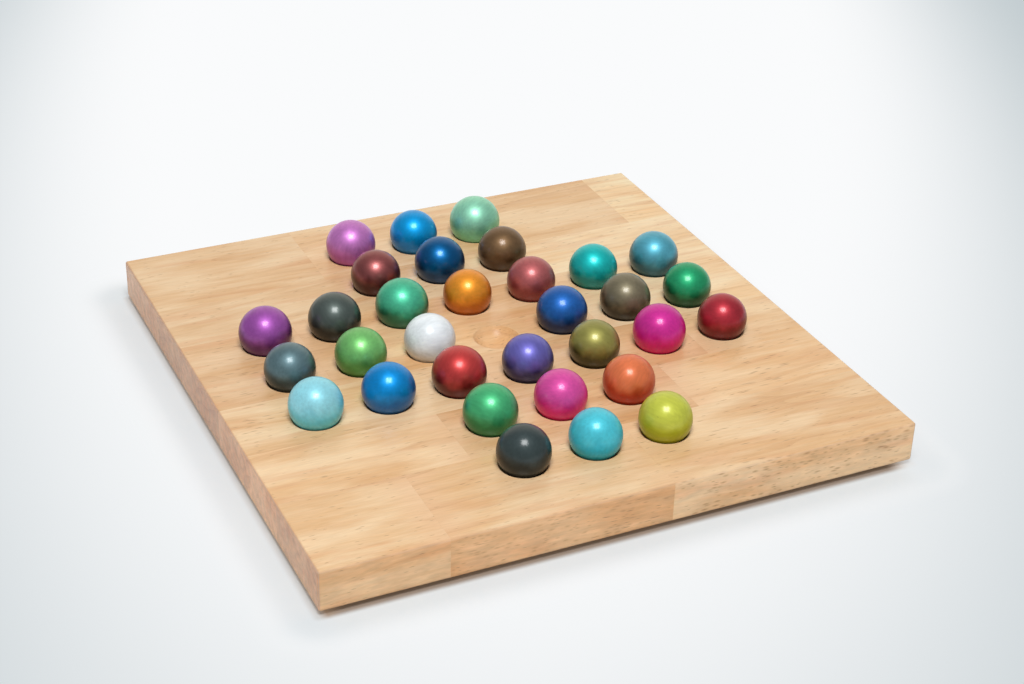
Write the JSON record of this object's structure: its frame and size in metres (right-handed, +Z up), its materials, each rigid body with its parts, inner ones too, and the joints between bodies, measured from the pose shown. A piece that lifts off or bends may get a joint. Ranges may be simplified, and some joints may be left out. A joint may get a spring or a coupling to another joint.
{
  "type": "marble solitaire board",
  "caption": "Square wooden solitaire board with round dimples in a cross layout, filled with loose painted balls but for the empty centre one.",
  "frame": {"origin": "on the table that the feet stand on, under the middle of the board", "axes": "+X to the right along the front edge and the grain, +Y to the back edge, +Z up out of the dimples"},
  "size_m": [0.288, 0.288, 0.0428],
  "materials": {
    "wood_pale": "light hardwood, pale beige stave, sanded and clear satin lacquered",
    "wood_honey": "light hardwood, honey stave, sanded and clear satin lacquered",
    "wood_tan": "light hardwood, tan stave, sanded and clear satin lacquered",
    "wood_amber": "light hardwood, reddish amber stave, sanded and clear satin lacquered",
    "paint_charcoal": "turned wooden ball, satin pearl lacquer, charcoal",
    "paint_turquoise": "turned wooden ball, satin pearl lacquer, turquoise",
    "paint_lime": "turned wooden ball, satin pearl lacquer, lime",
    "paint_green": "turned wooden ball, satin pearl lacquer, green",
    "paint_magenta": "turned wooden ball, satin pearl lacquer, magenta",
    "paint_coral": "turned wooden ball, satin pearl lacquer, coral",
    "paint_aqua": "turned wooden ball, satin pearl lacquer, aqua",
    "paint_azure": "turned wooden ball, satin pearl lacquer, azure",
    "paint_dark_red": "turned wooden ball, satin pearl lacquer, dark red",
    "paint_violet": "turned wooden ball, satin pearl lacquer, violet",
    "paint_olive": "turned wooden ball, satin pearl lacquer, olive",
    "paint_fuchsia": "turned wooden ball, satin pearl lacquer, fuchsia",
    "paint_crimson": "turned wooden ball, satin pearl lacquer, crimson",
    "paint_slate": "turned wooden ball, satin pearl lacquer, slate",
    "paint_leaf": "turned wooden ball, satin pearl lacquer, leaf",
    "paint_white": "turned wooden ball, satin pearl lacquer, white",
    "paint_royal_blue": "turned wooden ball, satin pearl lacquer, royal blue",
    "paint_taupe": "turned wooden ball, satin pearl lacquer, taupe",
    "paint_forest": "turned wooden ball, satin pearl lacquer, forest",
    "paint_purple": "turned wooden ball, satin pearl lacquer, purple",
    "paint_graphite": "turned wooden ball, satin pearl lacquer, graphite",
    "paint_emerald": "turned wooden ball, satin pearl lacquer, emerald",
    "paint_orange": "turned wooden ball, satin pearl lacquer, orange",
    "paint_rose": "turned wooden ball, satin pearl lacquer, rose",
    "paint_teal": "turned wooden ball, satin pearl lacquer, teal",
    "paint_steel_blue": "turned wooden ball, satin pearl lacquer, steel blue",
    "paint_maroon": "turned wooden ball, satin pearl lacquer, maroon",
    "paint_navy": "turned wooden ball, satin pearl lacquer, navy",
    "paint_brown": "turned wooden ball, satin pearl lacquer, brown",
    "paint_orchid": "turned wooden ball, satin pearl lacquer, orchid",
    "paint_sky": "turned wooden ball, satin pearl lacquer, sky",
    "paint_mint": "turned wooden ball, satin pearl lacquer, mint",
    "foot_rubber": "matt dark rubber foot, stuck on"
  },
  "bodies": {
    "board": {"stave_front_left": "wood_honey", "stave_front_middle": "wood_amber", "stave_front_right": "wood_pale", "stave_second_left": "wood_tan", "stave_second_middle": "wood_honey", "stave_second_right": "wood_pale", "stave_third_left": "wood_honey", "stave_third_middle": "wood_tan", "stave_third_right": "wood_honey", "stave_fourth_left": "wood_pale", "stave_fourth_middle": "wood_honey", "stave_fourth_right": "wood_tan", "stave_fifth_left": "wood_honey", "stave_fifth_right": "wood_pale", "stave_back_left": "wood_pale", "stave_back_middle": "wood_tan", "stave_back_right": "wood_honey", "foot_front_left": "foot_rubber", "foot_front_right": "foot_rubber", "foot_back_left": "foot_rubber", "foot_back_right": "foot_rubber"},
    "ball_charcoal": {"ball_charcoal": "paint_charcoal"},
    "ball_turquoise": {"ball_turquoise": "paint_turquoise"},
    "ball_lime": {"ball_lime": "paint_lime"},
    "ball_green": {"ball_green": "paint_green"},
    "ball_magenta": {"ball_magenta": "paint_magenta"},
    "ball_coral": {"ball_coral": "paint_coral"},
    "ball_aqua": {"ball_aqua": "paint_aqua"},
    "ball_azure": {"ball_azure": "paint_azure"},
    "ball_dark_red": {"ball_dark_red": "paint_dark_red"},
    "ball_violet": {"ball_violet": "paint_violet"},
    "ball_olive": {"ball_olive": "paint_olive"},
    "ball_fuchsia": {"ball_fuchsia": "paint_fuchsia"},
    "ball_crimson": {"ball_crimson": "paint_crimson"},
    "ball_slate": {"ball_slate": "paint_slate"},
    "ball_leaf": {"ball_leaf": "paint_leaf"},
    "ball_white": {"ball_white": "paint_white"},
    "ball_royal_blue": {"ball_royal_blue": "paint_royal_blue"},
    "ball_taupe": {"ball_taupe": "paint_taupe"},
    "ball_forest": {"ball_forest": "paint_forest"},
    "ball_purple": {"ball_purple": "paint_purple"},
    "ball_graphite": {"ball_graphite": "paint_graphite"},
    "ball_emerald": {"ball_emerald": "paint_emerald"},
    "ball_orange": {"ball_orange": "paint_orange"},
    "ball_rose": {"ball_rose": "paint_rose"},
    "ball_teal": {"ball_teal": "paint_teal"},
    "ball_steel_blue": {"ball_steel_blue": "paint_steel_blue"},
    "ball_maroon": {"ball_maroon": "paint_maroon"},
    "ball_navy": {"ball_navy": "paint_navy"},
    "ball_brown": {"ball_brown": "paint_brown"},
    "ball_orchid": {"ball_orchid": "paint_orchid"},
    "ball_sky": {"ball_sky": "paint_sky"},
    "ball_mint": {"ball_mint": "paint_mint"}
  },
  "joints": [
    {"name": "lift_charcoal", "type": "slide", "parent": "board", "child": "ball_charcoal", "axis": [0, 0, 1], "range_m": [0, 0.032]},
    {"name": "lift_turquoise", "type": "slide", "parent": "board", "child": "ball_turquoise", "axis": [0, 0, 1], "range_m": [0, 0.032]},
    {"name": "lift_lime", "type": "slide", "parent": "board", "child": "ball_lime", "axis": [0, 0, 1], "range_m": [0, 0.032]},
    {"name": "lift_green", "type": "slide", "parent": "board", "child": "ball_green", "axis": [0, 0, 1], "range_m": [0, 0.032]},
    {"name": "lift_magenta", "type": "slide", "parent": "board", "child": "ball_magenta", "axis": [0, 0, 1], "range_m": [0, 0.032]},
    {"name": "lift_coral", "type": "slide", "parent": "board", "child": "ball_coral", "axis": [0, 0, 1], "range_m": [0, 0.032]},
    {"name": "lift_aqua", "type": "slide", "parent": "board", "child": "ball_aqua", "axis": [0, 0, 1], "range_m": [0, 0.032]},
    {"name": "lift_azure", "type": "slide", "parent": "board", "child": "ball_azure", "axis": [0, 0, 1], "range_m": [0, 0.032]},
    {"name": "lift_dark_red", "type": "slide", "parent": "board", "child": "ball_dark_red", "axis": [0, 0, 1], "range_m": [0, 0.032]},
    {"name": "lift_violet", "type": "slide", "parent": "board", "child": "ball_violet", "axis": [0, 0, 1], "range_m": [0, 0.032]},
    {"name": "lift_olive", "type": "slide", "parent": "board", "child": "ball_olive", "axis": [0, 0, 1], "range_m": [0, 0.032]},
    {"name": "lift_fuchsia", "type": "slide", "parent": "board", "child": "ball_fuchsia", "axis": [0, 0, 1], "range_m": [0, 0.032]},
    {"name": "lift_crimson", "type": "slide", "parent": "board", "child": "ball_crimson", "axis": [0, 0, 1], "range_m": [0, 0.032]},
    {"name": "lift_slate", "type": "slide", "parent": "board", "child": "ball_slate", "axis": [0, 0, 1], "range_m": [0, 0.032]},
    {"name": "lift_leaf", "type": "slide", "parent": "board", "child": "ball_leaf", "axis": [0, 0, 1], "range_m": [0, 0.032]},
    {"name": "lift_white", "type": "slide", "parent": "board", "child": "ball_white", "axis": [0, 0, 1], "range_m": [0, 0.032]},
    {"name": "lift_royal_blue", "type": "slide", "parent": "board", "child": "ball_royal_blue", "axis": [0, 0, 1], "range_m": [0, 0.032]},
    {"name": "lift_taupe", "type": "slide", "parent": "board", "child": "ball_taupe", "axis": [0, 0, 1], "range_m": [0, 0.032]},
    {"name": "lift_forest", "type": "slide", "parent": "board", "child": "ball_forest", "axis": [0, 0, 1], "range_m": [0, 0.032]},
    {"name": "lift_purple", "type": "slide", "parent": "board", "child": "ball_purple", "axis": [0, 0, 1], "range_m": [0, 0.032]},
    {"name": "lift_graphite", "type": "slide", "parent": "board", "child": "ball_graphite", "axis": [0, 0, 1], "range_m": [0, 0.032]},
    {"name": "lift_emerald", "type": "slide", "parent": "board", "child": "ball_emerald", "axis": [0, 0, 1], "range_m": [0, 0.032]},
    {"name": "lift_orange", "type": "slide", "parent": "board", "child": "ball_orange", "axis": [0, 0, 1], "range_m": [0, 0.032]},
    {"name": "lift_rose", "type": "slide", "parent": "board", "child": "ball_rose", "axis": [0, 0, 1], "range_m": [0, 0.032]},
    {"name": "lift_teal", "type": "slide", "parent": "board", "child": "ball_teal", "axis": [0, 0, 1], "range_m": [0, 0.032]},
    {"name": "lift_steel_blue", "type": "slide", "parent": "board", "child": "ball_steel_blue", "axis": [0, 0, 1], "range_m": [0, 0.032]},
    {"name": "lift_maroon", "type": "slide", "parent": "board", "child": "ball_maroon", "axis": [0, 0, 1], "range_m": [0, 0.032]},
    {"name": "lift_navy", "type": "slide", "parent": "board", "child": "ball_navy", "axis": [0, 0, 1], "range_m": [0, 0.032]},
    {"name": "lift_brown", "type": "slide", "parent": "board", "child": "ball_brown", "axis": [0, 0, 1], "range_m": [0, 0.032]},
    {"name": "lift_orchid", "type": "slide", "parent": "board", "child": "ball_orchid", "axis": [0, 0, 1], "range_m": [0, 0.032]},
    {"name": "lift_sky", "type": "slide", "parent": "board", "child": "ball_sky", "axis": [0, 0, 1], "range_m": [0, 0.032]},
    {"name": "lift_mint", "type": "slide", "parent": "board", "child": "ball_mint", "axis": [0, 0, 1], "range_m": [0, 0.032]}
  ]
}
